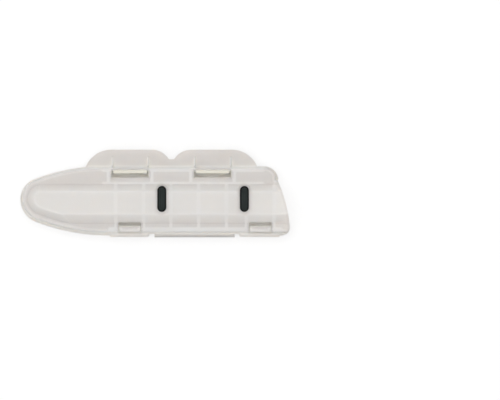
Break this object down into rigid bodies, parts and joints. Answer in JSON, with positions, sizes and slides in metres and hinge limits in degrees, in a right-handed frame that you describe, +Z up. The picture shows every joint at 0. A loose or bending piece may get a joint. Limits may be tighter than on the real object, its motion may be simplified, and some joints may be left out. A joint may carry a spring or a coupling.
{
  "type": "knife blade guard",
  "caption": "Clamshell guard for a kitchen knife's blade: translucent plastic shells on a living hinge, snap hooks and finger tabs opposite, black rubber grips inside.",
  "frame": {"origin": "centre of the closed guard's bounding box, on the surface that its back plateau rests on", "axes": "+X along the guard towards its open mouth, +Y towards the finger tabs and away from the hinge, +Z up through the front shell"},
  "size_m": [0.15, 0.0488, 0.014],
  "materials": {
    "shell": "satin, milky translucent natural polypropylene",
    "hinge_web": "satin, thin translucent polypropylene",
    "latch_hook": "satin, translucent natural polypropylene",
    "grip": "matt black thermoplastic elastomer"
  },
  "bodies": {
    "back_shell": {"back_shell": "shell", "back_tip_grip": "grip", "back_heel_grip": "grip", "living_hinge": "hinge_web"},
    "front_shell": {"front_shell": "shell", "front_tip_grip": "grip", "front_heel_grip": "grip"},
    "tip_latch": {"tip_latch_hook": "latch_hook"},
    "heel_latch": {"heel_latch_hook": "latch_hook"}
  },
  "joints": [
    {"name": "shell_hinge", "type": "hinge", "parent": "back_shell", "child": "front_shell", "pos_m": [0.02193, -0.02454, 0.007], "axis": [1, 0, 0], "range_deg": [0, 180], "deforming": ["living_hinge"]},
    {"name": "tip_latch_flex", "type": "hinge", "parent": "back_shell", "child": "tip_latch", "pos_m": [-0.01379, 0.0117, 0.004], "axis": [1, 0, 0], "range_deg": [0, 10], "stiffness_Nm_per_rad": 0.05},
    {"name": "heel_latch_flex", "type": "hinge", "parent": "back_shell", "child": "heel_latch", "pos_m": [0.032, 0.0117, 0.004], "axis": [1, 0, 0], "range_deg": [0, 10], "stiffness_Nm_per_rad": 0.05}
  ]
}
